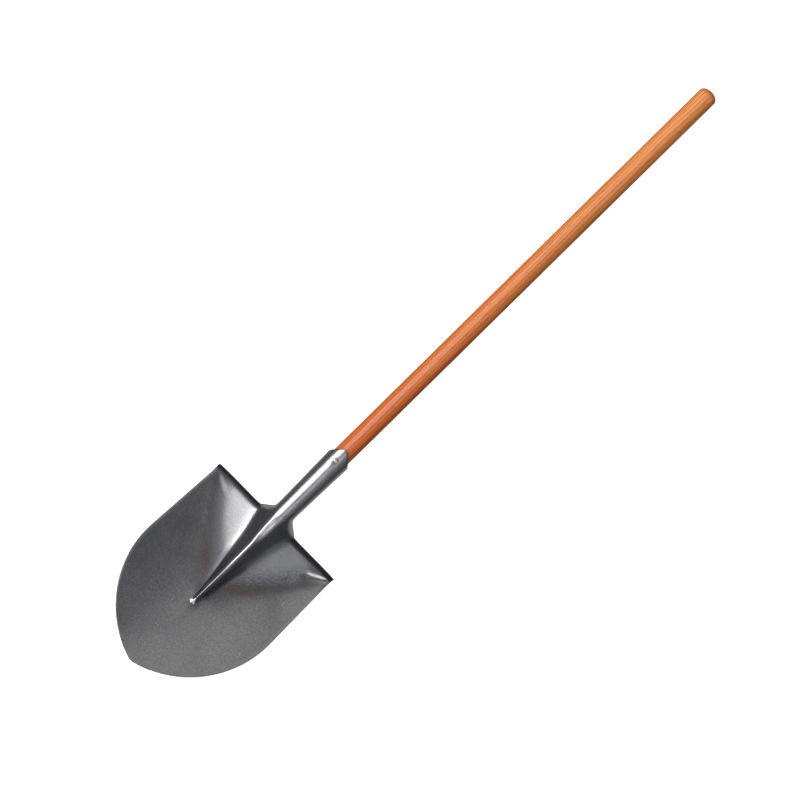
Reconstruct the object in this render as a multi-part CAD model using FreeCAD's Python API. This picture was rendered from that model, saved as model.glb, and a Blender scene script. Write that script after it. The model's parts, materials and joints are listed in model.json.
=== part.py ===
import FreeCAD, Part
import math
import os

# Round point shovel: a pressed steel head with a rolled socket, a turned ash
# handle driven into the socket, and the screw that fixes the two together.
#
# The head is shaped in its own frame, in millimetres: +Y runs along the socket
# axis towards the butt, Y = 0 is the front line of the foot treads, +X is
# across the blade and +Z is out of its hollow face. At the end everything is
# turned a degree about X, so that the shovel lies on its two tread corners
# and the butt of the handle, and moved so that the origin is the middle of
# the bottom of its bounding box.

Vector = FreeCAD.Vector

# --- sheet and blade ---
SHEET = 1.6                 # thickness of the steel sheet
LIFT = math.radians(16.0)   # blade plane against the socket axis
BLADE_LENGTH = 295.0        # tread line to tip, along the blade plane
BLADE_DROP = 18.7           # blade plane below the socket axis at the treads
MAX_HALF_WIDTH = 119.8      # blade's half width at its widest
WIDEST_FROM_TIP = 155.0
EAR_HALF_WIDTH = 115.2      # half width just below the tread corners
EAR_FLARE = 1.2             # the corners themselves turn out this much
EAR_FLARE_RUN = 14.0
EDGE_RADIUS = 161.3         # the two arcs that meet at the point
TIP_RADIUS = 10.0
DISH_DEPTH = 14.0           # depth of the hollow below the blade plane
DISH_END_RISE = 10.0        # how much of that depth is lost at the tip
DISH_LEVEL_TO = 130.0       # the hollow starts to rise beyond this

# --- flat triangles between the dish, the treads and the ridge ---
FACET_RISE = 11.95          # above the blade plane, on the centre line
FACET_FALL_OUT = 0.1017     # slope towards the ear
FACET_FALL_DOWN = 0.196     # slope towards the tip
CREASE_BLEND = 8.0          # how softly they meet the dish, beside the ridge
CREASE_BLEND_EAR = 2.0      # the same out at the ears

# --- ridge that carries the socket's line down the blade ---
RIDGE_LENGTH = 165.0
RIDGE_NOSE_LIFT = 19.0      # crest above the socket axis at the nose
CREST_SAG = 3.0             # the most the crest dips under the straight line to the nose
RIDGE_SIDE_SLOPE = 1.0      # rise over run of the ridge's sides near the treads
RIDGE_NOSE_SLOPE = 1.2      # the same near the nose
STEEPER_FROM = 60.0         # where down the blade the sides begin and end to steepen
STEEPER_TO = 140.0
CREST_HALF_FLAT = 6.0       # flat on the crest at the neck
CREST_FLAT_FADE = 60.0      # run over which that flat narrows to an edge
CREST_BLEND = 2.4
NOSE_BLEND = 5.0            # rounder crest over the last NOSE_RUN of the ridge
NOSE_RUN = 14.0
FOOT_BLEND = 3.0

# --- treads rolled back along the shoulders ---
TREAD_RADIUS = 10.0
TREAD_TURN = math.radians(95.0)

# --- rolled socket ---
SOCKET_RADIUS_NECK = 15.66  # outside, at the tread line
SOCKET_RADIUS_MOUTH = 18.75
MOUTH = 123.0               # mouth at the two sides
TONGUE = 18.0               # how far the front of the rim stands beyond that
TONGUE_POWER = 1.25         # 1 would bring it to a sharp point
BACK_CUT = 4.0              # how far the back of the rim falls short
SEAM_HALF_ANGLE = math.radians(3.5)
WEB_END = 13.4              # the webs from the treads meet the socket here
WEB_SLOPE = 1.48            # how fast they widen towards the treads
WEB_BLEND = 0.5
WEB_CLEAR = 1.5             # keeps their limit off the closed socket

# --- handle ---
HANDLE_RADIUS = 14.5
HANDLE_BUTT = 864.5
BUTT_DOME = 9.5
HANDLE_FOOT = 34.0          # end of the tapered foot inside the socket
HANDLE_GAP = 0.2            # between the foot and the socket
FOOT_BEVEL = 3.0
SHOULDER = 119.0            # foot is full up to here, then steps to the shaft
SHOULDER_LENGTH = 7.0

# --- fixing screw ---
SCREW_Y = 118.7
SCREW_HEAD_RADIUS = 3.5
SCREW_HEAD_DEPTH = 1.9
SCREW_SHANK_RADIUS = 1.75
SCREW_LENGTH = 25.0
SCREW_PROUD = 0.3           # head's rim above the socket's surface
SCREW_DOME = 0.8
SCREW_POINT = 5.0
SCREW_TIP_RADIUS = 0.4
HOLE_GAP = 0.15             # round the screw in the steel
PILOT_GAP = 0.05            # round the screw in the wood
SLOT_WIDTH = 1.0
SLOT_LENGTH = 4.4
SLOT_DEPTH = 1.2

# --- grid that the sheet's surface is drawn on ---
# Columns run from the centre line (0) to the edge of the neck strip (1) and
# on to the blade's side (2). Rows run from beyond the tip to the treads, and
# then round the treads and up the socket.
NECK_HALF_WIDTH = 36.5
NOSE_STRIP_HALF_WIDTH = 14.0
GRID_HALF_WIDTH = 126.0
NECK_COLUMNS = 12
SIDE_COLUMNS = 12
ROLL_START = 9.5            # tread roll begins this far below the tread line
ROLL_ROWS = 5
BLADE_ROWS = ((302.0, 182.0, 15), (182.0, 150.0, 11))
SHOULDER_FROM = 150.0       # from here the rows straighten to the tread line
SHOULDER_ROWS = 18
SOCKET_STATIONS = (20.5, 24.5, 29.0, 34.0, 40.0, 48.0, 58.0, 72.0, 90.0, 108.0, 121.0, 130.0, 134.0)
RIM_FROM = 48.0             # run beyond which the rows bend to the rim's line
OUTLINE_REACH = 200.0       # how far the outline's prism stands either way


def mix(a, b, t):
    return a + (b - a) * t


def smooth_step(t):
    t = min(max(t, 0.0), 1.0)
    return t * t * (3.0 - 2.0 * t)


def smooth_max(a, b, blend):
    return 0.5 * (a + b + math.sqrt((a - b) ** 2 + blend ** 2))


def blade_to_head(x, down, height):
    """A point on the blade: distance down from the treads, height off its plane."""
    y = -down * math.cos(LIFT) + height * math.sin(LIFT)
    z = -BLADE_DROP + down * math.sin(LIFT) + height * math.cos(LIFT)
    return Vector(x, y, z)


def blade_base(x, down):
    """Height of the dished blade and its two flat triangles, without the ridge."""
    beyond = max(down - DISH_LEVEL_TO, 0.0) / (BLADE_LENGTH - DISH_LEVEL_TO)
    dish = -DISH_DEPTH * (1.0 - (x / MAX_HALF_WIDTH) ** 2) + DISH_END_RISE * beyond ** 2
    facet = FACET_RISE - FACET_FALL_OUT * abs(x) - FACET_FALL_DOWN * down
    blend = mix(CREASE_BLEND, CREASE_BLEND_EAR, min((x / MAX_HALF_WIDTH) ** 2, 1.0))
    return smooth_max(dish, facet, blend)


def crest_height(down):
    """Height of the ridge's crest: near level with the socket, sagging towards the nose."""
    share = down / RIDGE_LENGTH
    sag = CREST_SAG * 6.75 * share * share * (1.0 - share)
    lift = mix(SOCKET_RADIUS_NECK, RIDGE_NOSE_LIFT, share) - sag
    return (lift + BLADE_DROP - down * math.sin(LIFT)) / math.cos(LIFT)


def blade_height(x, down):
    """Height of the blade's front face off the blade plane."""
    along = min(down, RIDGE_LENGTH)
    aside = math.hypot(x, down - along)
    flat = CREST_HALF_FLAT * (1.0 - smooth_step(along / CREST_FLAT_FADE))
    blend = mix(CREST_BLEND, NOSE_BLEND, smooth_step((along - RIDGE_LENGTH) / NOSE_RUN + 1.0))
    fall = smooth_max(aside - flat, 0.0, blend) - smooth_max(-flat, 0.0, blend)
    steeper = smooth_step((along - STEEPER_FROM) / (STEEPER_TO - STEEPER_FROM))
    ridge = crest_height(along) - mix(RIDGE_SIDE_SLOPE, RIDGE_NOSE_SLOPE, steeper) * fall
    return smooth_max(blade_base(x, down), ridge, FOOT_BLEND)


def column_x(column, down):
    strip = mix(NECK_HALF_WIDTH, NOSE_STRIP_HALF_WIDTH, min(down / RIDGE_LENGTH, 1.0))
    if column <= 1.0:
        return strip * column
    return mix(strip, GRID_HALF_WIDTH, column - 1.0)


def blade_point(column, down):
    x = column_x(column, down)
    return blade_to_head(x, down, blade_height(x, down))


def roll_start(column):
    """Where each column leaves the blade, so that the treads end in one straight line."""
    height = blade_height(column_x(column, ROLL_START), ROLL_START)
    return ROLL_START + height * math.tan(LIFT)


def socket_radius(y):
    return mix(SOCKET_RADIUS_NECK, SOCKET_RADIUS_MOUTH, y / MOUTH)


def rim_y(angle):
    """Height of the socket's rim at an angle from the front line."""
    front = math.cos(angle)
    if front > 0.0:
        return MOUTH + TONGUE * (1.0 - abs(math.sin(angle)) ** TONGUE_POWER)
    return MOUTH + BACK_CUT * front


ROLL_RUN = TREAD_RADIUS * TREAD_TURN
# Control points stand outside the circle that their cubic curve follows.
ARC_CONTROL = 3.0 / (2.0 + math.cos((math.pi - SEAM_HALF_ANGLE) / NECK_COLUMNS))
LAST_RUN = SOCKET_STATIONS[-1]
LIP_ROW = sum(count for first, last, count in BLADE_ROWS) + SHOULDER_ROWS + ROLL_ROWS


def rolled_point(column, run):
    """The sheet carried on past the blade: round the tread, or along the neck."""
    leaves = roll_start(column)
    start = blade_point(column, leaves)
    before = blade_point(column, leaves + 0.5)
    dip = math.atan2(before.z - start.z, start.y - before.y)
    bend = smooth_step((column - 0.5) / 0.5) / TREAD_RADIUS
    rolled = min(run, ROLL_RUN)
    if column > 1.0:
        rolled = min(run, 1.2 * ROLL_RUN)
    if bend * ROLL_RUN > 0.01:
        turned = dip + bend * rolled
        y = start.y + (math.sin(turned) - math.sin(dip)) / bend
        z = start.z - (math.cos(dip) - math.cos(turned)) / bend
    else:
        y = start.y + rolled * math.cos(dip)
        z = start.z - rolled * math.sin(dip)
    return Vector(start.x, y + run - rolled, z)


def neck_point(column, run):
    """The neck strip: the rolled sheet gathered in to the socket's circle."""
    open_point = rolled_point(column, run)
    if run <= 0.0:
        return open_point
    angle = column * (math.pi - SEAM_HALF_ANGLE)
    y = open_point.y
    if run > RIM_FROM:
        base = rolled_point(column, RIM_FROM).y
        y = mix(base, rim_y(angle), (run - RIM_FROM) / (LAST_RUN - RIM_FROM))
    starts = mix(-8.0, 1.0, column)
    ends = mix(14.0, 27.0, smooth_step(column / 0.75))
    closed = smooth_step((y - starts) / (ends - starts))
    if column == 1.0 and run <= ROLL_RUN:
        return open_point
    radius = socket_radius(y)
    reach = radius * ARC_CONTROL
    x = mix(open_point.x, reach * math.sin(angle), closed)
    z = mix(open_point.z, reach * math.cos(angle), closed)
    web = radius + WEB_SLOPE * smooth_max(WEB_END - y, 0.0, WEB_BLEND) + WEB_CLEAR * closed
    return Vector(-smooth_max(-x, -web, WEB_BLEND), y, z)


def blade_rows(columns):
    """Rows from beyond the tip up to the line where the treads begin to roll."""
    rows = []
    for first, last, count in BLADE_ROWS:
        for step in range(count):
            down = mix(first, last, step / count)
            rows.append([blade_point(column, down) for column in columns])
    for step in range(SHOULDER_ROWS + 1):
        share = step / SHOULDER_ROWS
        rows.append([blade_point(c, mix(SHOULDER_FROM, roll_start(c), share)) for c in columns])
    return rows


def front_grid():
    """Points of the sheet's front face, one list per row, from the centre out.

    Beyond the lip of the treads only the neck strip is real; the side columns
    go on there so that both surfaces share one border curve.
    """
    neck = [step / NECK_COLUMNS for step in range(NECK_COLUMNS + 1)]
    side = [1.0 + (step + 1) / SIDE_COLUMNS for step in range(SIDE_COLUMNS)]
    grid = blade_rows(neck + side)
    runs = [ROLL_RUN * (step + 1) / ROLL_ROWS for step in range(ROLL_ROWS)]
    for run in runs + list(SOCKET_STATIONS):
        row = [neck_point(column, run) for column in neck]
        grid.append(row + [rolled_point(column, run) for column in side])
    return grid


def normal_at(grid, row, column):
    """Direction out of the front face, from the neighbouring grid points."""
    points = grid[row]
    left = points[max(column - 1, 0)]
    if column == 0:
        left = Vector(-points[1].x, points[1].y, points[1].z)
    right = points[min(column + 1, len(points) - 1)]
    if column == NECK_COLUMNS and row > LIP_ROW:
        right = points[column]
    below = grid[max(row - 1, 0)][column]
    above = grid[min(row + 1, len(grid) - 1)][column]
    return (right - left).cross(above - below).normalize()


def back_grid(grid):
    """The front points moved one sheet thickness along the normals."""
    rows = []
    for row, points in enumerate(grid):
        rows.append([p - normal_at(grid, row, i) * SHEET for i, p in enumerate(points)])
    return rows


def mirrored_point(point):
    return Vector(-point.x, point.y, point.z)


def spline_surface(rows):
    """A cubic surface whose control points are the given rows."""
    row_knots = list(range(len(rows) - 2))
    column_knots = list(range(len(rows[0]) - 2))
    row_mults = [4] + [1] * (len(row_knots) - 2) + [4]
    column_mults = [4] + [1] * (len(column_knots) - 2) + [4]
    surface = Part.BSplineSurface()
    surface.buildFromPolesMultsKnots(
        rows, row_mults, column_mults, row_knots, column_knots, False, False, 3, 3
    )
    return surface


def strip_surfaces(grid):
    """The neck strip over the full width, and the blade's left and right sides."""
    neck = []
    left = []
    right = []
    for row in grid:
        inner = row[:NECK_COLUMNS + 1]
        neck.append([mirrored_point(p) for p in reversed(inner[1:])] + inner)
        right.append(row[NECK_COLUMNS:])
        left.append([mirrored_point(p) for p in reversed(row[NECK_COLUMNS:])])
    return [spline_surface(rows) for rows in (neck, left, right)]


def wall(front_surface, back_surface, border, at, start, end):
    """The narrow face along one border, between the sheet's two faces."""
    edges = []
    for surface in (front_surface, back_surface):
        curve = surface.uIso(at) if border == "row" else surface.vIso(at)
        edges.append(curve.toShape(start, end))
    return Part.makeRuledSurface(edges[0], edges[1])


def sheet_solid():
    """The whole pressing as one closed solid, before its outline is cut."""
    front = front_grid()
    front_strips = strip_surfaces(front)
    back_strips = strip_surfaces(back_grid(front))
    rows_end = len(front) - 3
    lip = LIP_ROW - 1
    neck_end = 2 * NECK_COLUMNS - 2
    side_end = SIDE_COLUMNS - 2
    faces = []
    for neck, left, right in (front_strips, back_strips):
        faces.append(neck.toShape(0, lip, 0, neck_end))
        faces.append(neck.toShape(lip, rows_end, 0, neck_end))
        faces.append(left.toShape(0, lip, 0, side_end))
        faces.append(right.toShape(0, lip, 0, side_end))
    pairs = list(zip(front_strips, back_strips))
    for pair, end in zip(pairs, (neck_end, side_end, side_end)):
        faces.append(wall(*pair, "row", 0, 0, end))
    for pair, outer in zip(pairs[1:], (0, side_end)):
        faces.append(wall(*pair, "column", outer, 0, lip))
        faces.append(wall(*pair, "row", lip, 0, side_end))
    for border in (0, neck_end):
        faces.append(wall(*pairs[0], "column", border, lip, rows_end))
    faces.append(wall(*pairs[0], "row", rows_end, 0, neck_end))
    shell = Part.makeShell(faces)
    shell.sewShape()
    return Part.makeSolid(shell)


def outline_tool():
    """A prism that keeps what lies inside the blade's outline."""
    widest = BLADE_LENGTH - WIDEST_FROM_TIP
    centre_x = MAX_HALF_WIDTH - EDGE_RADIUS
    ear_x = EAR_HALF_WIDTH - centre_x
    reach = math.hypot(ear_x, widest)
    turn = math.acos(EDGE_RADIUS / reach) - math.atan2(widest, ear_x)
    tip_centre = BLADE_LENGTH - TIP_RADIUS
    tip_angle = math.atan2(tip_centre - widest, -centre_x)
    edge_angles = (turn, 0.5 * (turn + tip_angle), tip_angle)
    edge = [(centre_x + EDGE_RADIUS * math.cos(a), widest + EDGE_RADIUS * math.sin(a)) for a in edge_angles]
    shoulder = [(EAR_HALF_WIDTH + EAR_FLARE, -OUTLINE_REACH), (EAR_HALF_WIDTH + EAR_FLARE, 0.0)]
    shoulder.append((EAR_HALF_WIDTH, EAR_FLARE_RUN))
    right = [blade_to_head(x, down, -OUTLINE_REACH) for x, down in shoulder + edge]
    left = [mirrored_point(point) for point in right]
    tip = blade_to_head(0.0, BLADE_LENGTH, -OUTLINE_REACH)
    edges = [Part.LineSegment(left[0], right[0]).toShape()]
    for side in (right, left):
        for start, end in zip(side[:3], side[1:4]):
            edges.append(Part.LineSegment(start, end).toShape())
        edges.append(Part.Arc(side[3], side[4], side[5]).toShape())
    edges.append(Part.Arc(right[5], tip, left[5]).toShape())
    wire = Part.Wire(Part.__sortEdges__(edges))
    normal = Vector(0.0, math.sin(LIFT), math.cos(LIFT))
    return Part.Face(wire).extrude(normal * 2.0 * OUTLINE_REACH)


def cone_on_z(radius_top, radius_bottom, top, bottom):
    """A cone or cylinder standing in the fixing hole, from bottom up to top."""
    base = Vector(0.0, SCREW_Y, bottom)
    if radius_top == radius_bottom:
        return Part.makeCylinder(radius_top, top - bottom, base)
    return Part.makeCone(radius_bottom, radius_top, top - bottom, base)


SCREW_TOP = socket_radius(SCREW_Y) + SCREW_PROUD
SCREW_NECK = SCREW_TOP - SCREW_HEAD_DEPTH


def blade_head():
    """The pressed and rolled steel head, with its countersunk fixing hole."""
    pressing = sheet_solid().common(outline_tool())
    countersink = cone_on_z(
        SCREW_HEAD_RADIUS + HOLE_GAP, SCREW_SHANK_RADIUS + HOLE_GAP, SCREW_TOP, SCREW_NECK
    )
    through = cone_on_z(
        SCREW_SHANK_RADIUS + HOLE_GAP, SCREW_SHANK_RADIUS + HOLE_GAP, SCREW_NECK, SCREW_NECK - SHEET
    )
    return pressing.cut(countersink.fuse(through)).Solids[0]


def handle():
    """One turned piece: tapered foot, shoulder, straight shaft and domed butt."""
    foot_end = socket_radius(HANDLE_FOOT) - SHEET - HANDLE_GAP
    foot_top = socket_radius(SHOULDER) - SHEET - HANDLE_GAP
    dome_start = HANDLE_BUTT - BUTT_DOME
    profile = [
        Vector(0.0, HANDLE_FOOT, 0.0),
        Vector(foot_end - FOOT_BEVEL, HANDLE_FOOT, 0.0),
        Vector(foot_end, HANDLE_FOOT + FOOT_BEVEL, 0.0),
        Vector(foot_top, SHOULDER, 0.0),
        Vector(HANDLE_RADIUS, SHOULDER + SHOULDER_LENGTH, 0.0),
        Vector(HANDLE_RADIUS, dome_start, 0.0),
    ]
    edges = [Part.LineSegment(a, b).toShape() for a, b in zip(profile, profile[1:])]
    butt = Vector(0.0, HANDLE_BUTT, 0.0)
    dome = Part.BezierCurve()
    dome.setPoles([profile[-1], Vector(HANDLE_RADIUS, HANDLE_BUTT, 0.0), butt])
    dome.setWeight(2, math.sqrt(0.5))
    edges.append(dome.toShape())
    edges.append(Part.LineSegment(butt, profile[0]).toShape())
    face = Part.Face(Part.Wire(edges))
    turned = face.revolve(Vector(0.0, 0.0, 0.0), Vector(0.0, 1.0, 0.0), 360.0)
    radius = SCREW_SHANK_RADIUS + PILOT_GAP
    pilot = cone_on_z(radius, radius, SCREW_TOP, SCREW_TOP - SCREW_LENGTH - PILOT_GAP)
    return turned.cut(pilot).Solids[0]


def fixing_screw():
    """A raised countersunk wood screw with a cross recess."""
    head = cone_on_z(SCREW_HEAD_RADIUS, SCREW_SHANK_RADIUS, SCREW_TOP, SCREW_NECK)
    dome_radius = (SCREW_HEAD_RADIUS ** 2 + SCREW_DOME ** 2) / (2.0 * SCREW_DOME)
    dome = Part.makeSphere(dome_radius, Vector(0.0, SCREW_Y, SCREW_TOP + SCREW_DOME - dome_radius))
    cap = dome.common(cone_on_z(SCREW_HEAD_RADIUS, SCREW_HEAD_RADIUS, SCREW_TOP + SCREW_DOME, SCREW_TOP))
    point_start = SCREW_TOP - SCREW_LENGTH + SCREW_POINT
    shank = cone_on_z(SCREW_SHANK_RADIUS, SCREW_SHANK_RADIUS, SCREW_NECK, point_start)
    point = cone_on_z(SCREW_SHANK_RADIUS, SCREW_TIP_RADIUS, point_start, point_start - SCREW_POINT)
    screw = head.fuse([cap, shank, point]).removeSplitter()
    floor = SCREW_TOP + SCREW_DOME - SLOT_DEPTH
    across = Vector(-SLOT_LENGTH / 2.0, SCREW_Y - SLOT_WIDTH / 2.0, floor)
    along = Vector(-SLOT_WIDTH / 2.0, SCREW_Y - SLOT_LENGTH / 2.0, floor)
    slots = Part.makeBox(SLOT_LENGTH, SLOT_WIDTH, 2.0 * SLOT_DEPTH, across)
    slots = slots.fuse(Part.makeBox(SLOT_WIDTH, SLOT_LENGTH, 2.0 * SLOT_DEPTH, along))
    return screw.cut(slots).Solids[0]


def lay_down(pieces):
    """Turn and move every piece so that the shovel lies on z = 0, centred."""
    lip_y = rolled_point(1.5, ROLL_RUN).y
    lip_z = pieces["blade_head"].optimalBoundingBox(False, False).ZMin
    butt_y = HANDLE_BUTT - BUTT_DOME
    slope = math.degrees(math.atan2(-HANDLE_RADIUS - lip_z, butt_y - lip_y))
    for shape in pieces.values():
        shape.rotate(Vector(0.0, 0.0, 0.0), Vector(1.0, 0.0, 0.0), -slope)
    box = FreeCAD.BoundBox()
    for shape in pieces.values():
        box.add(shape.optimalBoundingBox(False, False))
    for shape in pieces.values():
        shape.translate(Vector(-box.Center.x, -box.Center.y, -box.ZMin))
    return slope, Vector(-box.Center.x, -box.Center.y, -box.ZMin)


pieces = {
    "blade_head": blade_head(),
    "handle": handle(),
    "fixing_screw": fixing_screw(),
}
lay_down(pieces)
os.makedirs("parts", exist_ok=True)
for name, shape in pieces.items():
    if not shape.isValid():
        raise RuntimeError(name + " is not a valid solid")
    shape.exportStep("parts/" + name + ".step")
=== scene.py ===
import json
import math

import bmesh
import bpy
import numpy as np
from mathutils import Matrix, Vector


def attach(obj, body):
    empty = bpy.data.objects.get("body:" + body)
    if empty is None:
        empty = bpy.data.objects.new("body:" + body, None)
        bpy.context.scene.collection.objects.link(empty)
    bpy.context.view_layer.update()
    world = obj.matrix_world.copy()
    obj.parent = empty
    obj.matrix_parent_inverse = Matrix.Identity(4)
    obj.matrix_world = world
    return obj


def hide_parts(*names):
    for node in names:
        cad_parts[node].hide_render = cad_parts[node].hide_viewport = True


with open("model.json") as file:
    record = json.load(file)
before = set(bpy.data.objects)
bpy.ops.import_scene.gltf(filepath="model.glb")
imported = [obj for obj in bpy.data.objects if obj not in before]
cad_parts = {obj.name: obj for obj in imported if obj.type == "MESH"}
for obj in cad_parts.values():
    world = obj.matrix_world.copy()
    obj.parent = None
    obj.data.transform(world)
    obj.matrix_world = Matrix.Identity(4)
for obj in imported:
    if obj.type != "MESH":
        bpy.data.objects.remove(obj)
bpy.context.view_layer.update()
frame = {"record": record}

# A round point shovel lying face up: a pressed steel head with a rolled socket,
# a varnished wooden handle and one fixing screw.
#
# All three are drawn in the head's own frame, in millimetres: y runs along the
# socket's axis towards the butt from the front line of the treads, x is across
# the blade and z is out of its hollow face. to_row carries them to their place
# in the frame, in metres.

MM = 0.001
LOWEST_Z = 0.00005  # in metres, just above the floor

# ---- placement ----

shaft = frame["record"]["mounts"][0]
SHAFT_MOUNT_Y = 500.0  # the mount's place along the socket's axis, in mm
along = Vector(shaft["axis"]).normalized()
across = Vector((1.0, 0.0, 0.0))
outward = across.cross(along)
origin = Vector(shaft["pos_m"]) - along * SHAFT_MOUNT_Y * MM
to_row = Matrix.Translation(origin) @ Matrix((across, along, outward)).transposed().to_4x4()


# ---- dimensions ----
# Lengths are in millimetres. A pair marked "from, run" says where something starts
# and how far it takes to build up. One marked "until, run" says where it has ended
# and how far before that it takes to fade.

# sheet and blade
SHEET = 1.6  # thickness
LIFT = math.radians(16.0)  # blade plane against the socket's axis
BLADE_LENGTH = 295.0  # tread line to tip, along the blade plane
BLADE_DROP = 18.7  # blade plane below the socket's axis at the treads
MAX_HALF_WIDTH = 119.8  # blade's half width at its widest
WIDEST_FROM_TIP = 155.0
EAR_HALF_WIDTH = 115.2  # half width just below the tread corners
EAR_FLARE = 1.2  # the corners themselves turn out this much
EAR_FLARE_RUN = 14.0
EDGE_RADIUS = 161.3  # the two arcs that meet at the point
TIP_RADIUS = 10.0
DISH_DEPTH = 14.0  # depth of the hollow below the blade plane
DISH_END_RISE = 10.0  # depth lost at the tip
DISH_LEVEL_TO = 130.0  # the hollow starts to rise beyond this

# flat triangles between the dish, the treads and the ridge
FACET_RISE = 11.95  # above the blade plane, on the centre line
FACET_FALL_OUT = 0.1017  # slope towards the ear
FACET_FALL_DOWN = 0.196  # slope towards the tip
CREASE_BLEND = 8.0  # how softly they meet the dish, beside the ridge
CREASE_BLEND_EAR = 2.0  # the same out at the ears

# ridge that carries the socket's line down the blade
RIDGE_LENGTH = 165.0
RIDGE_NOSE_LIFT = 19.0  # crest above the socket's axis at the nose
CREST_SAG = 3.0  # the most the crest dips under a straight line
SAG_SCALE = 6.75  # one over the most that s * s * (1 - s) reaches
RIDGE_SIDE_SLOPE = 1.0  # rise over run of the sides near the treads
RIDGE_NOSE_SLOPE = 1.2  # the same near the nose
STEEPER_FROM = 60.0  # where down the blade the sides begin to steepen
STEEPER_TO = 140.0
CREST_HALF_FLAT = 6.0  # flat on the crest at the neck
CREST_FLAT_FADE = 60.0  # run over which it narrows to an edge
CREST_BLEND = 2.4
NOSE_BLEND = 5.0  # rounder crest over the last NOSE_RUN
NOSE_RUN = 14.0
FOOT_BLEND = 3.0  # how softly the ridge meets the blade

# treads rolled back along the shoulders
TREAD_RADIUS = 10.0
TREAD_TURN = math.radians(95.0)
BEND_FROM_COLUMN = 0.5  # nearer the centre line the sheet runs on unrolled
LIP_CURL = 1.2  # the row past the lip curls on, which keeps the lip round
SLOPE_STEP = 0.5  # the blade's slope is taken over this step
STRAIGHT_TURN = 0.01  # in radians: less than this is drawn straight

# rolled socket, and the webs that join it to the treads
SOCKET_RADIUS_NECK = 15.66  # outside, at the tread line
SOCKET_RADIUS_MOUTH = 18.75
MOUTH = 123.0  # mouth at the two sides
TONGUE = 18.0  # how far the front of the rim stands beyond that
TONGUE_POWER = 1.25  # 1 would bring it to a sharp point
BACK_CUT = 4.0  # how far the back of the rim falls short
SEAM_HALF_ANGLE = math.radians(3.5)
CLOSE_FROM = (-8.0, 1.0)  # y where the sheet starts to close: in front, at the back
CLOSE_TO = (14.0, 27.0)  # y where it lies on the ring: in front, at the back
CLOSE_BACK_FROM = 0.75  # columns from here on finish with the back
WEB_END = 13.4  # the webs meet the socket here
WEB_SLOPE = 1.48  # how fast they widen towards the treads
WEB_BLEND = 0.5  # how softly their limit takes hold
WEB_CLEAR = 1.5  # keeps their limit off the closed socket

# cut edge of the sheet
EDGE_ROUND = 0.45  # radius of its two corners
EDGE_INSET = 0.3  # keeps the outline inside the solid's
SAME_PLACE = 1e-5  # points nearer than this are one

# unevenness that pressing leaves: a bent wave and a slower one. The lengths are
# those of one radian; the bend and the shifts are in radians.
WAVE_HEIGHT = 0.12
WAVE_X = 17.0
WAVE_DOWN = 19.0
WAVE_SKEW = 47.0
WAVE_BEND = 0.9
WAVE_BEND_DOWN = 23.0
SLOW_X = 29.0
SLOW_X_SHIFT = 0.4
SLOW_DOWN = 31.0
SLOW_DOWN_SHIFT = 1.3
WAVE_FADE = (285.0, 60.0)  # until, run

# fold at each ear: a bank along a slanting line, steeper on the right ear
FOLD_X = 83.0  # the line runs from here out to the corner
FOLD_DOWN = 23.0
FOLD_TURN = math.radians(29.0)  # from straight across towards the treads
FOLD_LENGTH = 33.0
FOLD_WIDTH = 6.5  # at the line's start
FOLD_END_WIDTH = 3.0  # at the corner
FOLD_SLOPE_RIGHT = 0.27
FOLD_END_SLOPE_RIGHT = 0.52
FOLD_SLOPE_LEFT = 0.07
FOLD_STARTS = (-0.3, 0.5)  # from, run, as shares of its length
FOLD_STEEPENS = (0.3, 0.5)  # from, run
FOLD_ENDS = (1.1, 0.2)  # until, run

# groove on the neck's crest
GROOVE_FROM = -52.0
GROOVE_TO = 10.0
GROOVE_FADE = 24.0
GROOVE_X = 0.4
GROOVE_HALF_WIDTH = 3.3
GROOVE_DEPTH = 1.7

# puckers where the treads turn in to the webs
PUCKER_X = 29.5  # middle of each patch
PUCKER_Y = 1.5
PUCKER_REACH = 4.0
PUCKER_PITCH = 3.3
PUCKER_SLANT = 0.7  # the wrinkles lean in towards the socket
PUCKER_HEIGHT = 0.2

# the ridge's crest, rubbed round
WORN_HALF_WIDTH = 1.8
WORN_DEPTH = 0.45
WORN_FROM = 20.0
WORN_TO = 148.0
WORN_FADE = 25.0

# handle
HANDLE_RADIUS = 14.45
HANDLE_BUTT = 864.45  # end of the dome
BUTT_DOME = 9.5
HANDLE_FOOT = 34.0  # end of the tapered foot inside the socket
HANDLE_GAP = 0.2  # between the foot and the socket
FOOT_BEVEL = 3.0
SHOULDER = 119.0  # the foot is full up to here, then steps to the shaft
SHOULDER_LENGTH = 7.0
SHOULDER_STEPS = 8
SHAFT_STEPS = 60
DOME_STEPS = 16
HANDLE_SEGMENTS = 72

# screw, and its hole in the tongue
SCREW_Y = 118.7
SCREW_HEAD_RADIUS = 3.5
SCREW_HEAD_DEPTH = 1.9  # its countersunk part
SCREW_SHANK_RADIUS = 1.75
SCREW_LENGTH = 25.0
SCREW_PROUD = 0.3  # head's rim above the socket's surface
SCREW_DOME = 0.8  # the head's middle above its rim
SCREW_DOME_STEPS = 8
SCREW_POINT = 5.0
SCREW_TIP_RADIUS = 0.4
SCREW_SEGMENTS = 48
SCREW_SHARP = math.radians(35.0)  # edges sharper than this stay sharp
SLOT_WIDTH = 1.0  # the two slots of the cross recess
SLOT_LENGTH = 4.4
SLOT_DEPTH = 1.2
HOLE_RADIUS = 3.65  # straight through the sheet, round the head
HOLE_CELL = 1.6  # size of the even cells drawn round the hole
HOLE_CELLS = 3  # cells from the hole's middle to the patch's edge
HOLE_SEARCH = 400  # samples along the socket to find the hole's rows
HOLE_CLEAR = 0.1  # plain rows keep this far off the patch

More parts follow.
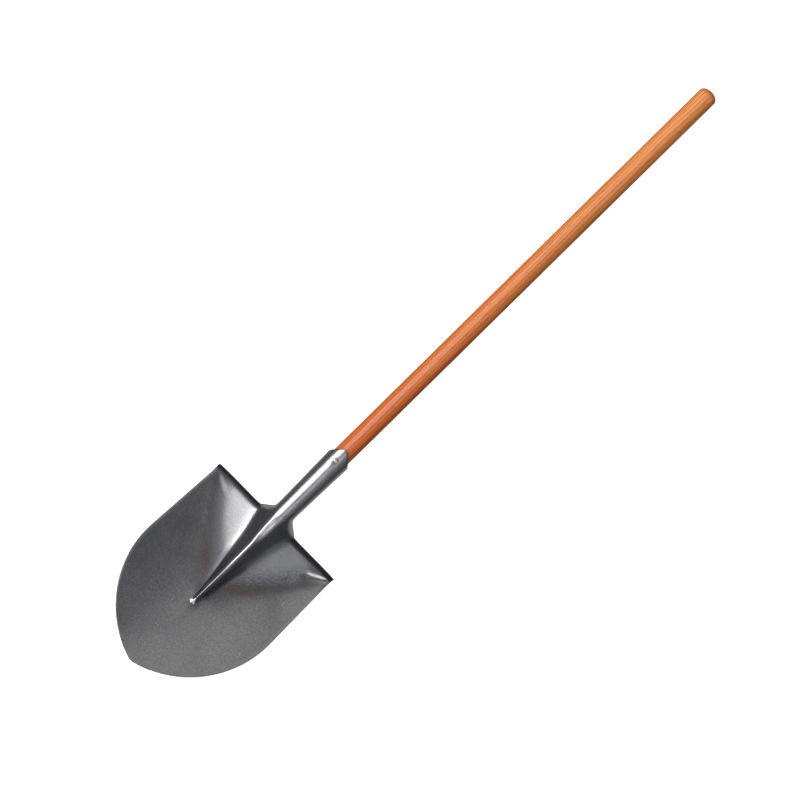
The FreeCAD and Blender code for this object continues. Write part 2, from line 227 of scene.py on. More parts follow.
# Grid of control points that the sheet is drawn with. Columns run from the centre
# line (0) to the edge of the neck strip (1), which rolls up into the socket, and on
# to the blade's side (2). Rows run from the tip to the treads, and then by their
# distance along the sheet, the run, round the treads or up the socket.
NECK_HALF_WIDTH = 36.5  # neck strip at the treads
NOSE_STRIP_HALF_WIDTH = 14.0  # the same at the ridge's nose
STRIP_SHARE = 0.45  # the most of the blade's half width that it takes
NECK_COLUMNS = 12
SIDE_COLUMNS = 12
ROLL_START = 9.5  # the roll begins this far below the tread line
ROLL_ROWS = 5
TIP_ROWS_TO = 182.0  # end of the tip's rows
TIP_ROWS = 22
TIP_CROWDING = 1.9  # rows crowd towards the tip
NOSE_ROWS = 11
SHOULDER_FROM = 150.0  # from here the rows straighten to the tread line
SHOULDER_ROWS = 18
# runs of the rows on the socket, closer where it closes and at its rim
SOCKET_STATIONS = (20.5, 24.5, 29.0, 34.0, 40.0, 48.0, 58.0, 72.0, 90.0, 108.0, 121.0, 130.0, 134.0)
RIM_FROM = 48.0  # beyond this run the rows bend to the rim's line
SPAN_SAMPLES = 4  # faces along each side of a span of the spline
CUBIC = 3  # the spline's degree

ROLL_RUN = TREAD_RADIUS * TREAD_TURN
LAST_RUN = SOCKET_STATIONS[-1]
LIP_ROW = TIP_ROWS + NOSE_ROWS + SHOULDER_ROWS + ROLL_ROWS
# control points of a ring stand this many times as far out as the ring itself
ARC_CONTROL = 3.0 / (2.0 + math.cos((math.pi - SEAM_HALF_ANGLE) / NECK_COLUMNS))


# ---- helpers ----

def mix(a, b, t):
    return a + (b - a) * t


def smooth_step(t):
    t = min(max(t, 0.0), 1.0)
    return t * t * (3.0 - 2.0 * t)


def rising(value, start, run):
    """0 before the start, then building up to 1 over the run."""
    return smooth_step((value - start) / run)


def falling(value, end, run):
    """1 at first, fading over the run to 0 at the end."""
    return smooth_step((end - value) / run)


def smooth_max(a, b, blend):
    """The larger of two values, rounded where they meet."""
    return 0.5 * (a + b + math.sqrt((a - b) ** 2 + blend ** 2))


# ---- head's surface ----

def outline_half_width(down):
    """Half the blade's width, a distance down from the treads."""
    widest = BLADE_LENGTH - WIDEST_FROM_TIP
    centre_x = MAX_HALF_WIDTH - EDGE_RADIUS
    ear_x = EAR_HALF_WIDTH - centre_x
    reach = math.hypot(ear_x, widest)
    turn = math.acos(EDGE_RADIUS / reach) - math.atan2(widest, ear_x)
    join_x = centre_x + EDGE_RADIUS * math.cos(turn)
    join_down = widest + EDGE_RADIUS * math.sin(turn)
    tip_angle = math.atan2(BLADE_LENGTH - TIP_RADIUS - widest, -centre_x)
    tip_join = widest + EDGE_RADIUS * math.sin(tip_angle)
    if down >= tip_join:
        left = min(max(BLADE_LENGTH - down, 0.0), TIP_RADIUS)
        return math.sqrt(TIP_RADIUS ** 2 - (TIP_RADIUS - left) ** 2)
    if down >= join_down:
        return centre_x + math.sqrt(EDGE_RADIUS ** 2 - (down - widest) ** 2)
    if down >= EAR_FLARE_RUN:
        share = (down - EAR_FLARE_RUN) / (join_down - EAR_FLARE_RUN)
        return mix(EAR_HALF_WIDTH, join_x, share)
    return EAR_HALF_WIDTH + EAR_FLARE * (1.0 - max(down, 0.0) / EAR_FLARE_RUN)


def half_width(down):
    """The half width drawn here, a touch inside the solid's outline."""
    return outline_half_width(down) * (1.0 - EDGE_INSET / MAX_HALF_WIDTH)


def waviness(x, down):
    """The slight unevenness that pressing leaves in the sheet, fading out at the tip."""
    across_phase = x / WAVE_X + WAVE_BEND * math.sin(down / WAVE_BEND_DOWN)
    wave = math.sin(across_phase) * math.cos(down / WAVE_DOWN - x / WAVE_SKEW)
    slow = math.sin(down / SLOW_DOWN + SLOW_DOWN_SHIFT) * math.cos(x / SLOW_X + SLOW_X_SHIFT)
    return WAVE_HEIGHT * (wave + slow) * falling(down, *WAVE_FADE)


def corner_fold(x, down):
    """A short bank that runs in from each ear's corner, steeper on the right one."""
    out = abs(x) - FOLD_X
    beyond = down - FOLD_DOWN
    share = (out * math.cos(FOLD_TURN) - beyond * math.sin(FOLD_TURN)) / FOLD_LENGTH
    off = out * math.sin(FOLD_TURN) + beyond * math.cos(FOLD_TURN)
    width = mix(FOLD_WIDTH, FOLD_END_WIDTH, smooth_step(share))
    strength = rising(share, *FOLD_STARTS) * falling(share, *FOLD_ENDS)
    slope = FOLD_SLOPE_LEFT
    if x > 0.0:
        slope = mix(FOLD_SLOPE_RIGHT, FOLD_END_SLOPE_RIGHT, rising(share, *FOLD_STEEPENS))
    return -slope * strength * off * math.exp(-(off / width) ** 2)


def crest_groove(x, y):
    """A shallow groove along the top of the neck, just before it closes into the socket."""
    strength = rising(y, GROOVE_FROM, GROOVE_FADE) * falling(y, GROOVE_TO, GROOVE_FADE)
    return -GROOVE_DEPTH * strength * math.exp(-((x - GROOVE_X) / GROOVE_HALF_WIDTH) ** 2)


def web_puckers(x, y):
    """Small wrinkles where the rolled tread is drawn in to the web."""
    away = math.hypot(abs(x) - PUCKER_X, y - PUCKER_Y) / PUCKER_REACH
    phase = (abs(x) + PUCKER_SLANT * y) / PUCKER_PITCH
    return PUCKER_HEIGHT * math.sin(2.0 * math.pi * phase) * math.exp(-away ** 2)


def worn_crest(x, down):
    """The ridge's crest rubbed round."""
    strength = rising(down, WORN_FROM, WORN_FADE) * falling(down, WORN_TO, WORN_FADE)
    return -WORN_DEPTH * strength * math.exp(-(x / WORN_HALF_WIDTH) ** 2)


def head_to_blade(y, z):
    """How far down the blade a point is, and how high off the blade plane."""
    down = -y * math.cos(LIFT) + (z + BLADE_DROP) * math.sin(LIFT)
    height = y * math.sin(LIFT) + (z + BLADE_DROP) * math.cos(LIFT)
    return down, height


def small_marks(x, y, z):
    """How far the marks of the press and of use raise the front face at a point."""
    if y > GROOVE_TO:
        return 0.0
    down = head_to_blade(y, z)[0]
    return corner_fold(x, down) + crest_groove(x, y) + web_puckers(x, y) + worn_crest(x, down)


def blade_to_head(x, down, height):
    """A point in the head's frame, from its place on the blade."""
    y = -down * math.cos(LIFT) + height * math.sin(LIFT)
    z = -BLADE_DROP + down * math.sin(LIFT) + height * math.cos(LIFT)
    return Vector((x, y, z))


def dish_height(x, down):
    """Height of the hollow alone, off the blade plane."""
    beyond = max(down - DISH_LEVEL_TO, 0.0) / (BLADE_LENGTH - DISH_LEVEL_TO)
    return -DISH_DEPTH * (1.0 - (x / MAX_HALF_WIDTH) ** 2) + DISH_END_RISE * beyond ** 2


def facet_height(x, down):
    """Height of a flat triangle's plane, off the blade plane."""
    return FACET_RISE - FACET_FALL_OUT * abs(x) - FACET_FALL_DOWN * down


def blade_base(x, down):
    """Height of the dished blade and its two flat triangles, without the ridge."""
    blend = mix(CREASE_BLEND, CREASE_BLEND_EAR, min((x / MAX_HALF_WIDTH) ** 2, 1.0))
    return smooth_max(dish_height(x, down), facet_height(x, down), blend)


def crest_height(down):
    """Height of the ridge's crest off the blade plane."""
    share = down / RIDGE_LENGTH
    sag = CREST_SAG * SAG_SCALE * share * share * (1.0 - share)
    lift = mix(SOCKET_RADIUS_NECK, RIDGE_NOSE_LIFT, share) - sag
    return (lift + BLADE_DROP - down * math.sin(LIFT)) / math.cos(LIFT)


def blade_height(x, down):
    """Height of the blade's front face off the blade plane."""
    near = min(down, RIDGE_LENGTH)
    aside = math.hypot(x, down - near)
    flat = CREST_HALF_FLAT * (1.0 - smooth_step(near / CREST_FLAT_FADE))
    blend = mix(CREST_BLEND, NOSE_BLEND, smooth_step((near - RIDGE_LENGTH) / NOSE_RUN + 1.0))
    fall = smooth_max(aside - flat, 0.0, blend) - smooth_max(-flat, 0.0, blend)
    steeper = rising(near, STEEPER_FROM, STEEPER_TO - STEEPER_FROM)
    ridge = crest_height(near) - mix(RIDGE_SIDE_SLOPE, RIDGE_NOSE_SLOPE, steeper) * fall
    return smooth_max(blade_base(x, down), ridge, FOOT_BLEND) + waviness(x, down)


def column_x(column, down):
    """How far out a column is, a distance down the blade."""
    edge = half_width(down)
    strip = mix(NECK_HALF_WIDTH, NOSE_STRIP_HALF_WIDTH, min(down / RIDGE_LENGTH, 1.0))
    strip = min(strip, STRIP_SHARE * edge)
    if column <= 1.0:
        return strip * column
    return mix(strip, edge, column - 1.0)


def blade_point(column, down):
    """A point of the blade's front face, in the head's frame."""
    x = column_x(column, down)
    return blade_to_head(x, down, blade_height(x, down))


def roll_start(column):
    """Where each column leaves the blade, so that the treads end in one straight line."""
    height = blade_height(column_x(column, ROLL_START), ROLL_START)
    return ROLL_START + height * math.tan(LIFT)


def socket_radius(y):
    """Outside radius of the socket, a distance up from the treads."""
    return mix(SOCKET_RADIUS_NECK, SOCKET_RADIUS_MOUTH, y / MOUTH)


def rim_y(angle):
    """Where the socket ends, at an angle round from its front."""
    front = math.cos(angle)
    if front > 0.0:
        return MOUTH + TONGUE * (1.0 - abs(math.sin(angle)) ** TONGUE_POWER)
    return MOUTH + BACK_CUT * front


def rolled_point(column, run):
    """The sheet carried on past the blade: round the tread, or straight along the neck."""
    leaves = roll_start(column)
    start = blade_point(column, leaves)
    before = blade_point(column, leaves + SLOPE_STEP)
    dip = math.atan2(before.z - start.z, start.y - before.y)
    bend = rising(column, BEND_FROM_COLUMN, 1.0 - BEND_FROM_COLUMN) / TREAD_RADIUS
    rolled = min(run, ROLL_RUN)
    if column > 1.0:
        rolled = min(run, LIP_CURL * ROLL_RUN)
    if bend * ROLL_RUN > STRAIGHT_TURN:
        turned = dip + bend * rolled
        y = start.y + (math.sin(turned) - math.sin(dip)) / bend
        z = start.z - (math.cos(dip) - math.cos(turned)) / bend
    else:
        y = start.y + rolled * math.cos(dip)
        z = start.z - rolled * math.sin(dip)
    x = start.x
    if column > 1.0:
        x = mix(x, column_x(column, 0.0), min(run / ROLL_RUN, 1.0))
    return Vector((x, y + run - rolled, z))


def neck_point(column, run):
    """The neck strip: the rolled sheet gathered in to the socket's circle."""
    open_point = rolled_point(column, run)
    if run <= 0.0 or (column == 1.0 and run <= ROLL_RUN):
        return open_point
    angle = column * (math.pi - SEAM_HALF_ANGLE)
    y = open_point.y
    if run > RIM_FROM:
        base = rolled_point(column, RIM_FROM).y
        y = mix(base, rim_y(angle), (run - RIM_FROM) / (LAST_RUN - RIM_FROM))
    starts = mix(*CLOSE_FROM, column)
    ends = mix(*CLOSE_TO, smooth_step(column / CLOSE_BACK_FROM))
    closed = rising(y, starts, ends - starts)
    radius = socket_radius(y)
    reach = radius * ARC_CONTROL
    x = mix(open_point.x, reach * math.sin(angle), closed)
    z = mix(open_point.z, reach * math.cos(angle), closed)
    web = radius + WEB_SLOPE * smooth_max(WEB_END - y, 0.0, WEB_BLEND) + WEB_CLEAR * closed
    return Vector((-smooth_max(-x, -web, WEB_BLEND), y, z))


def front_grid():
    """Control points of the front face, one row at a time, from the centre line out."""
    neck = [step / NECK_COLUMNS for step in range(NECK_COLUMNS + 1)]
    side = [1.0 + (step + 1) / SIDE_COLUMNS for step in range(SIDE_COLUMNS)]
    tip_run = BLADE_LENGTH - TIP_ROWS_TO
    downs = [BLADE_LENGTH - tip_run * (step / TIP_ROWS) ** TIP_CROWDING for step in range(TIP_ROWS)]
    downs += [mix(TIP_ROWS_TO, SHOULDER_FROM, step / NOSE_ROWS) for step in range(NOSE_ROWS)]
    grid = [[blade_point(column, down) for column in neck + side] for down in downs]
    for step in range(SHOULDER_ROWS + 1):
        share = step / SHOULDER_ROWS
        grid.append([blade_point(c, mix(SHOULDER_FROM, roll_start(c), share)) for c in neck + side])
    runs = [ROLL_RUN * (step + 1) / ROLL_ROWS for step in range(ROLL_ROWS)]
    for run in runs + list(SOCKET_STATIONS):
        row = [neck_point(column, run) for column in neck]
        grid.append(row + [rolled_point(column, run) for column in side])
    return np.array([[tuple(point) for point in row] for row in grid])


def spline_weights(count, params):
    """Weights of a clamped uniform cubic spline's control points at each parameter."""
    spans = count - CUBIC
    knots = np.concatenate([np.zeros(CUBIC), np.arange(spans + 1), np.full(CUBIC, spans)])
    params = np.asarray(params, float)
    weights = np.zeros((len(params), len(knots) - 1))
    last = count - 1
    for row, value in enumerate(params):
        span = min(CUBIC + int(value), last)
        weights[row, span] = 1.0
    for degree in range(1, CUBIC + 1):
        raised = np.zeros_like(weights)
        for i in range(len(knots) - 1 - degree):
            rise = knots[i + degree] - knots[i]
            fall = knots[i + degree + 1] - knots[i + 1]
            if rise > 0.0:
                raised[:, i] += (params - knots[i]) / rise * weights[:, i]
            if fall > 0.0:
                raised[:, i] += (knots[i + degree + 1] - params) / fall * weights[:, i + 1]
        weights = raised
    return weights[:, :count]


def spline_grid(control, row_params, column_params):
    """Points of the spline surface at a grid of parameters."""
    rows = spline_weights(control.shape[0], row_params)
    columns = spline_weights(control.shape[1], column_params)
    return np.einsum("ri,ijk,cj->rck", rows, control, columns)


def rows_past_screw(neck, first, last):
    """Row parameters of the socket, with an even patch of rows centred on the screw."""
    fine = np.linspace(first, last, HOLE_SEARCH)
    centre_y = spline_grid(neck, fine, [NECK_COLUMNS - 1.0])[:, 0, 1]
    wanted = SCREW_Y + HOLE_CELL * np.arange(-HOLE_CELLS, HOLE_CELLS + 1)
    patch = np.interp(wanted, centre_y, fine)
    plain = np.linspace(first, last, int(last - first) * SPAN_SAMPLES + 1)[1:]
    below = plain[plain < patch[0] - HOLE_CLEAR]
    above = plain[plain > patch[-1] + HOLE_CLEAR]
    return np.concatenate([below, patch, above]), len(below)


def grid_quads(grid, base, skip=()):
    """Quads over a grid whose first point has the number base, but for the skipped cells."""
    rows, columns = grid.shape[:2]
    quads = []
    for r in range(rows - 1):
        for c in range(columns - 1):
            if (r, c) not in skip:
                a = base + r * columns + c
                quads.append((a, a + 1, a + 1 + columns, a + columns))
    return quads


def open_hole(grid, first_row):
    """Draws the patch's border in to a circle round the screw; returns the cells inside it."""
    middle = grid.shape[1] // 2
    span = range(-HOLE_CELLS, HOLE_CELLS + 1)
    for i in span:
        for j in span:
            if max(abs(i), abs(j)) == HOLE_CELLS:
                x, y, z = grid[first_row + HOLE_CELLS + i, middle + j]
                away = math.hypot(x, y - SCREW_Y)
                new_x = x * HOLE_RADIUS / away
                new_y = SCREW_Y + (y - SCREW_Y) * HOLE_RADIUS / away
                new_z = math.sqrt(x * x + z * z - new_x * new_x)
                grid[first_row + HOLE_CELLS + i, middle + j] = (new_x, new_y, new_z)
    cells = range(-HOLE_CELLS, HOLE_CELLS)
    return {(first_row + HOLE_CELLS + i, middle + j) for i in cells for j in cells}


def even_params(spans):
    """Parameters that divide each span of a spline evenly."""
    return np.linspace(0.0, spans, spans * SPAN_SAMPLES + 1)


def sheet_front():
    """The front face as points and quads, the whole pressing in one mesh."""
    control = front_grid()
    mirror = np.array([-1.0, 1.0, 1.0])
    right_half = control[:, :NECK_COLUMNS + 1]
    neck = np.concatenate([right_half[:, :0:-1] * mirror, right_half], axis=1)
    right = control[:, NECK_COLUMNS:]
    # a row or column away from the ends has a parameter one less than its number
    lip = LIP_ROW - 1
    low_rows = even_params(lip)
    high_rows, hole_row = rows_past_screw(neck, lip, control.shape[0] - CUBIC)
    neck_columns = even_params(2 * NECK_COLUMNS + 1 - CUBIC)
    side_columns = even_params(SIDE_COLUMNS + 1 - CUBIC)
    neck_low = spline_grid(neck, low_rows, neck_columns)
    neck_high = spline_grid(neck, high_rows, neck_columns)
    inside = open_hole(neck_high, hole_row)
    right_low = spline_grid(right, low_rows, side_columns)[:, 1:]
    left_low = (right_low * mirror)[:, ::-1]
    low = np.concatenate([left_low, neck_low, right_low], axis=1)
    base = low.shape[0] * low.shape[1]
    quads = grid_quads(low, 0) + grid_quads(neck_high, base, inside)
    lip_start = base - low.shape[1] + left_low.shape[1]
    for c in range(neck_high.shape[1] - 1):
        quads.append((lip_start + c, lip_start + c + 1, base + c + 1, base + c))
    points = np.concatenate([low.reshape(-1, 3), neck_high.reshape(-1, 3)])
    for point in points:
        if point[2] > -BLADE_DROP:
            point[2] += small_marks(*point)
    return points, quads


def new_mesh(name, points, faces):
    mesh = bpy.data.meshes.new(name)
    mesh.from_pydata([tuple(p) for p in points], [], faces)
    mesh.validate()
    return mesh


def new_object(name, data):
    piece = bpy.data.objects.new(name, data)
    bpy.context.scene.collection.objects.link(piece)
    return piece


def outward_directions(border, places, normals):
    """The way out of the sheet at each point of its border, along its face."""
    outward_at = {}
    for edge in border:
        face = edge.link_faces[0]
        side = (places[edge.verts[0]] + places[edge.verts[1]]) * 0.5 - face.calc_center_median()
        line = (places[edge.verts[1]] - places[edge.verts[0]]).normalized()
        side = side - line * side.dot(line)
        for v in edge.verts:
            flat = side - normals[v] * side.dot(normals[v])
            outward_at[v] = outward_at.get(v, Vector()) + flat.normalized()
    return outward_at


def sheet_with_thickness(points, quads):
    """Closes the front face into a sheet with softly rounded edges all round."""
    bm = bmesh.new()
    verts = [bm.verts.new(tuple(p)) for p in points]
    for quad in quads:
        bm.faces.new([verts[i] for i in quad])
    bmesh.ops.remove_doubles(bm, verts=bm.verts, dist=SAME_PLACE)
    bmesh.ops.delete(bm, geom=[v for v in bm.verts if not v.link_faces], context="VERTS")
    bm.normal_update()
    bm.verts.ensure_lookup_table()
    front = list(bm.verts)
    normals = {v: v.normal.copy() for v in front}
    places = {v: v.co.copy() for v in front}
    backs = {v: bm.verts.new(places[v] - normals[v] * SHEET) for v in front}
    for face in list(bm.faces):
        bm.faces.new([backs[v] for v in reversed(face.verts)])
    border = [e for e in bm.edges if len(e.link_faces) == 1 and e.verts[0] in backs]
    # (in from the cut edge, down from the front face) across the thickness
    r = EDGE_ROUND
    slack = r * (1.0 - math.sqrt(0.5))
    steps = ((slack, slack), (0.0, r), (0.0, SHEET - r), (slack, SHEET - slack))
    rims = {}
    for v, out in outward_directions(border, places, normals).items():
        out = out.normalized()
        rims[v] = [bm.verts.new(places[v] - out * inset - normals[v] * depth) for inset, depth in steps]
        v.co = places[v] - out * r
        backs[v].co = places[v] - out * r - normals[v] * SHEET
    for edge in border:
        loop = next(each for each in edge.link_faces[0].loops if each.edge == edge)
        a = loop.vert
        b = loop.link_loop_next.vert
        chain_a = [a] + rims[a] + [backs[a]]
        chain_b = [b] + rims[b] + [backs[b]]
        for k in range(len(chain_a) - 1):
            bm.faces.new((chain_a[k + 1], chain_b[k + 1], chain_b[k], chain_a[k]))
    bmesh.ops.recalc_face_normals(bm, faces=bm.faces)
    return bm


# Wear of the steel, and painted shade on it. A height without more is taken off the blade beside the
# ridge.
# The gap is how far the hollow lies above a flat triangle's plane: it is negative
# on the triangle, and 0 along its crease.
SOCKET_POLISH = (-12.0, 40.0)  # y: from, run
NECK_CREST_POLISH = (13.0, 5.0)  # off the centre line: until, run
CREST_POLISH_RISE = (3.0, 5.0)  # height: from, run
CREST_POLISH_BELOW = (6.0, 4.0)  # below the crest: until, run
FACET_POLISH = 0.8
FACET_POLISH_BEYOND = (5.0, 6.0)  # gap below zero: from, run
RIM_POLISH = 0.6
RIM_POLISH_IN = (0.2, 1.6)  # in from the edge: where it starts to go, run
TREAD_OUT = (28.0, 8.0)  # off the centre line: from, run
TREAD_DULL = (-12.0, 4.0)  # y: from, run
BLADE_FROM_DOWN = -2.0  # the blade's own marks lie between these
BLADE_TO_Y = 4.0

# painted shade in the gap round the screw's head, with its dirt: a darker ring there
SCREW_DIRT_AND_SHADE = 0.5
SCREW_SHADE_FROM_Y = 90.0
SCREW_SHADE_REACH = (3.6, 0.6)  # from the screw's axis: where it starts to go, run
# painted shade: a dark band on the rolled treads, where the roll turns away from the lamps
TREAD_SHADE = 0.8
TREAD_SHADE_Y = (-9.6, 2.0)  # y: from, run
TREAD_SHADE_END = (12.0, 6.0)  # y: until, run
VALLEY_SHADE = 0.8  # painted shade along the ridge's foot, near the nose
VALLEY_RISE = (0.1, 0.5)  # height: from, run
VALLEY_TOP = (4.5, 3.0)  # height: until, run
VALLEY_DOWN = (60.0, 30.0)  # down the blade: from, run
VALLEY_END = (160.0, 10.0)  # down the blade: until, run
FLANK_SHADE = 0.52  # painted shade on the ridge's sides
FLANK_RISE = (2.0, 3.0)  # height: from, run
FLANK_BELOW = (3.5, 3.0)  # below the crest: from, run
RIDGE_SHADE_DOWN = (0.0, 15.0)  # down the blade: from, run
CREASE_SHADE = 0.6  # painted shade along the left triangle's crease
CREASE_GAP = (-9.0, 4.0)  # gap: from, run
CREASE_END = (1.5, 3.5)  # gap: until, run
FOOT_SHADE = 0.42  # painted shade beside the ridge's foot on the right
FOOT_NEAR_TREADS = 30.0  # half width of the ridge at its foot
FOOT_NEAR_NOSE = 9.0
FOOT_MARGIN = 13.0  # beyond the foot: until, run
FOOT_RUN = 14.0
FOOT_SHADE_END = (110.0, 50.0)  # down the blade: until, run
HEAT_GAP = 0.5  # gap at the middle of the tint along each crease
HEAT_HALF_WIDTH = 2.4
HEAT_OUT = (80.0, 50.0)  # off the centre line: until, run
HEAT_DOWN = (150.0, 40.0)  # down the blade: until, run
HEAT_LOST = 0.8  # share of it missing on the ridge
HEAT_LOST_RISE = (1.5, 3.0)  # height: from, run


def socket_and_tread_shade(x, y, z):
    """Painted shade: a dark ring round the screw's head, with its dirt, and a dark band on the rolled
    treads.
    """
    dirt_and_shade = 0.0
    if y > SCREW_SHADE_FROM_Y and z > 0.0:
        dirt_and_shade = SCREW_DIRT_AND_SHADE - SCREW_DIRT_AND_SHADE * rising(math.hypot(x, y - SCREW_Y), *SCREW_SHADE_REACH)
    tread = TREAD_SHADE * rising(abs(x), *TREAD_OUT)
    tread = tread * rising(y, *TREAD_SHADE_Y) * falling(y, *TREAD_SHADE_END)
    return max(dirt_and_shade, tread)


def blade_shade(x, down, rise, below_crest, gap):
    """Painted shade on the blade: at the ridge's foot, on its sides and beside it."""
    valley = VALLEY_SHADE * rising(rise, *VALLEY_RISE) * falling(rise, *VALLEY_TOP)
    valley = valley * rising(down, *VALLEY_DOWN) * falling(down, *VALLEY_END)
    flank = FLANK_SHADE * rising(rise, *FLANK_RISE) * rising(below_crest, *FLANK_BELOW)
    flank = flank * rising(down, *RIDGE_SHADE_DOWN)
    if x < 0.0:
        aside = CREASE_SHADE * rising(gap, *CREASE_GAP) * falling(gap, *CREASE_END)
    else:
        foot = mix(FOOT_NEAR_TREADS, FOOT_NEAR_NOSE, down / RIDGE_LENGTH)
        aside = FOOT_SHADE * falling(x, foot + FOOT_MARGIN, FOOT_RUN) * falling(down, *FOOT_SHADE_END)
        aside = aside * rising(down, *RIDGE_SHADE_DOWN)
    return max(valley, flank, aside)


def wear_and_shade_at(x, y, z):
    """Polish, heat tint and painted shade of the steel, each 0 to 1, at a point of the head."""
    down, height = head_to_blade(y, z)
    socket = rising(y, *SOCKET_POLISH)
    # scale is painted shade: dark bands laid where the steel looks dark under the lamps
    scale = socket_and_tread_shade(x, y, z)
    if down < BLADE_FROM_DOWN or y > BLADE_TO_Y:
        return max(socket, falling(abs(x), *NECK_CREST_POLISH)), 0.0, scale
    rise = height - blade_base(x, down)
    below_crest = crest_height(min(down, RIDGE_LENGTH)) - height
    gap = dish_height(x, down) - facet_height(x, down)
    scale = max(scale, blade_shade(x, down, rise, below_crest, gap))
    near_nose = falling(abs(x), *HEAT_OUT) * falling(down, *HEAT_DOWN)
    heat = math.exp(-((gap - HEAT_GAP) / HEAT_HALF_WIDTH) ** 2) * near_nose
    heat = heat * (1.0 - HEAT_LOST * rising(rise, *HEAT_LOST_RISE))
    crest = rising(rise, *CREST_POLISH_RISE) * falling(below_crest, *CREST_POLISH_BELOW)
    facet = FACET_POLISH * rising(-gap, *FACET_POLISH_BEYOND)
    rim = RIM_POLISH * (1.0 - rising(half_width(down) - abs(x), *RIM_POLISH_IN))
    dull = rising(abs(x), *TREAD_OUT) * rising(y, *TREAD_DULL)
    return max(socket, crest, facet, rim) * (1.0 - dull), heat, scale


def make_head():
    """The whole pressing, with its wear, heat tint and painted shade stored at each point for the steel
    to read.
    """
    points, quads = sheet_front()
    bm = sheet_with_thickness(points, quads)
    mesh = bpy.data.meshes.new("blade_head_sheet")
    bm.to_mesh(mesh)
    bm.free()
    wear_and_shade = mesh.attributes.new("wear_and_shade", "FLOAT_COLOR", "POINT")
    for vertex, value in zip(mesh.vertices, wear_and_shade.data):
        value.color = (*wear_and_shade_at(*vertex.co), 1.0)
    for vertex in mesh.vertices:
        vertex.co = to_row @ (vertex.co * MM)
        vertex.co.z = max(vertex.co.z, LOWEST_Z)
    mesh.shade_smooth()
    return new_object("blade_head_sheet", mesh)


head = make_head()
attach(head, "root")
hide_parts("blade_head")


# ---- handle ----

def lathe(name, profile, segments, axis_point, axis_turn):
    """A closed turned solid from (radius, height) points, both ends on the axis."""
    points = []
    faces = []
    rings = []
    for radius, height in profile:
        if radius < SAME_PLACE:
            rings.append([len(points)])
            points.append((0.0, 0.0, height))
            continue
        ring = []
        for s in range(segments):
            angle = 2.0 * math.pi * s / segments
            ring.append(len(points))
            points.append((radius * math.cos(angle), radius * math.sin(angle), height))
        rings.append(ring)
    for low, high in zip(rings, rings[1:]):
        for s in range(segments):
            t = (s + 1) % segments
            if len(low) == 1:
                faces.append((low[0], high[t], high[s]))
            elif len(high) == 1:
                faces.append((low[s], low[t], high[0]))
            else:
                faces.append((low[s], low[t], high[t], high[s]))
    turned = [axis_turn @ Vector(p) + axis_point for p in points]
    mesh = new_mesh(name, [to_row @ (p * MM) for p in turned], faces)
    mesh.shade_smooth()
    return new_object(name, mesh)


def handle_profile():
    """Radius and height of the handle from the end of its foot to the butt."""
    foot_end = socket_radius(HANDLE_FOOT) - SHEET - HANDLE_GAP
    foot_top = socket_radius(SHOULDER) - SHEET - HANDLE_GAP
    profile = [(0.0, HANDLE_FOOT), (foot_end - FOOT_BEVEL, HANDLE_FOOT)]
    profile += [(foot_end, HANDLE_FOOT + FOOT_BEVEL), (foot_top, SHOULDER)]
    for step in range(1, SHOULDER_STEPS + 1):
        share = step / SHOULDER_STEPS
        radius = mix(foot_top, HANDLE_RADIUS, smooth_step(share))
        profile.append((radius, SHOULDER + SHOULDER_LENGTH * share))
    dome_start = HANDLE_BUTT - BUTT_DOME
    first = SHOULDER + SHOULDER_LENGTH
    for step in range(1, SHAFT_STEPS + 1):
        profile.append((HANDLE_RADIUS, mix(first, dome_start, step / SHAFT_STEPS)))
    for step in range(1, DOME_STEPS):
        angle = math.pi / 2.0 * step / DOME_STEPS
        profile.append((HANDLE_RADIUS * math.cos(angle), dome_start + BUTT_DOME * math.sin(angle)))
    profile.append((0.0, HANDLE_BUTT))
    return profile


UPRIGHT_TO_Y = Matrix.Rotation(math.radians(-90.0), 3, "X")

handle = lathe("handle_turned", handle_profile(), HANDLE_SEGMENTS, Vector(), UPRIGHT_TO_Y)
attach(handle, "root")
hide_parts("handle")


# ---- screw ----

def cross_prism(low, high):
    """A plus-shaped prism over the screw's head, to cut its recess with."""
    w = SLOT_WIDTH / 2.0
    r = SLOT_LENGTH / 2.0
    outline = [(r, -w), (r, w), (w, w), (w, r), (-w, r), (-w, w)]
    outline += [(-r, w), (-r, -w), (-w, -w), (-w, -r), (w, -r), (w, -w)]
    count = len(outline)
    points = [Vector((x, y + SCREW_Y, z)) for z in (low, high) for x, y in outline]
    faces = [tuple(range(count - 1, -1, -1)), tuple(range(count, 2 * count))]
    faces += [(i, (i + 1) % count, (i + 1) % count + count, i + count) for i in range(count)]
    mesh = new_mesh("cross_prism", [to_row @ (p * MM) for p in points], faces)
    return new_object("cross_prism", mesh)


def cut_away(piece, cutter):
    """Takes the cutter's shape out of a piece for good, and removes the cutter."""
    cut = piece.modifiers.new("cut", "BOOLEAN")
    cut.object = cutter
    cut.solver = "EXACT"
    evaluated = piece.evaluated_get(bpy.context.evaluated_depsgraph_get())
    result = bpy.data.meshes.new_from_object(evaluated)
    piece.modifiers.clear()
    piece.data = result
    bpy.data.objects.remove(cutter)
    result.shade_smooth()
    result.set_sharp_from_angle(angle=SCREW_SHARP)


